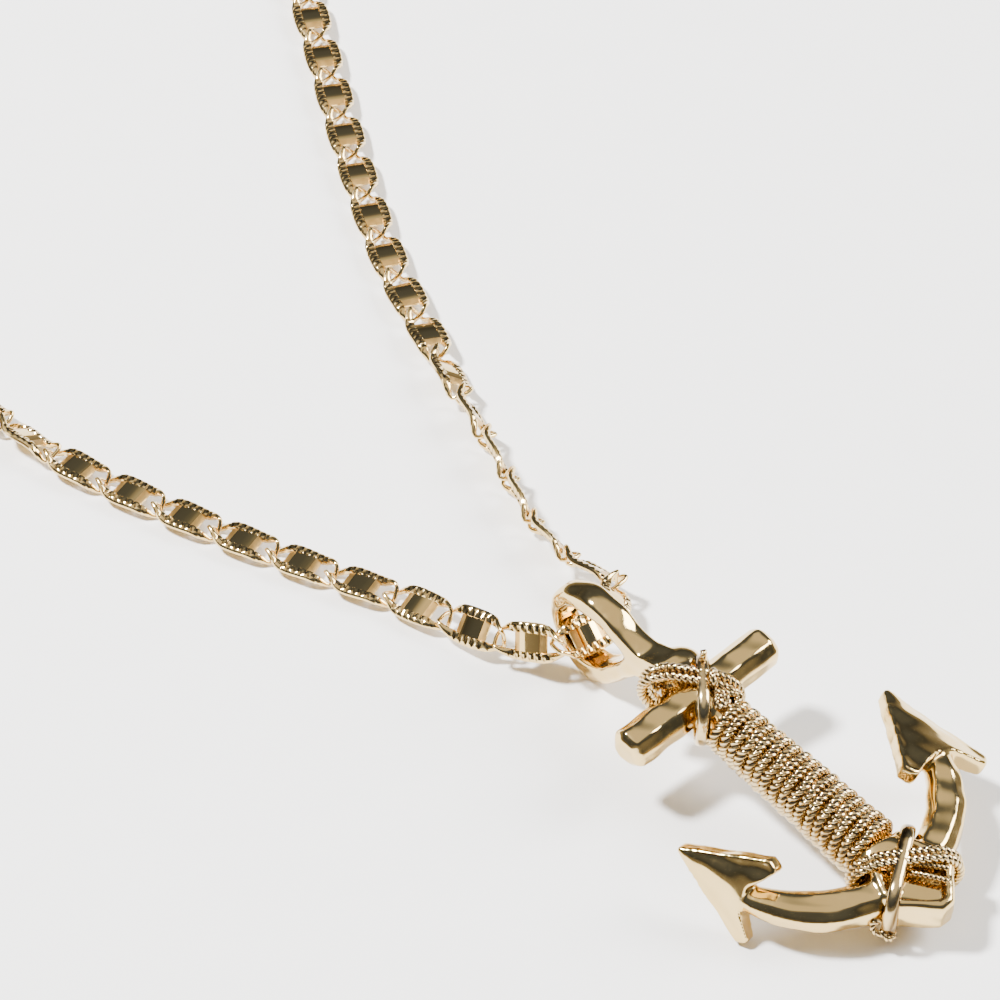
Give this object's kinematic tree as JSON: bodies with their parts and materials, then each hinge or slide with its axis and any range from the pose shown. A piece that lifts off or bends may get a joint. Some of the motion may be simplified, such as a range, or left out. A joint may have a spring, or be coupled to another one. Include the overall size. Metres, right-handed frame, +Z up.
{
  "type": "anchor pendant necklace",
  "caption": "Gold-coloured anchor pendant with rope-wound shank and drooping bail, hung on a necklace chain of flat mirror-plate links, laid out on a surface.",
  "frame": {"origin": "middle of the footprint of the whole necklace, on the surface it lies on", "axes": "+Z up from the surface, +Y from the anchor's crown along its shank towards the chain and round the neck loop, +X to the right arm of the chain"},
  "size_m": [0.1128, 0.2222, 0.0111],
  "materials": {
    "pendant_gold": "polished pale gold plating on cast brass",
    "rope_gold": "polished pale gold with dark, antiqued recesses",
    "chain_gold": "polished pale gold with bright cut facets"
  },
  "bodies": {
    "root": {"anchor": "pendant_gold", "shank_rope": "rope_gold", "head_lashing": "rope_gold", "crown_lashing": "rope_gold", "chain": "chain_gold", "clasp": "chain_gold"}
  },
  "joints": []
}
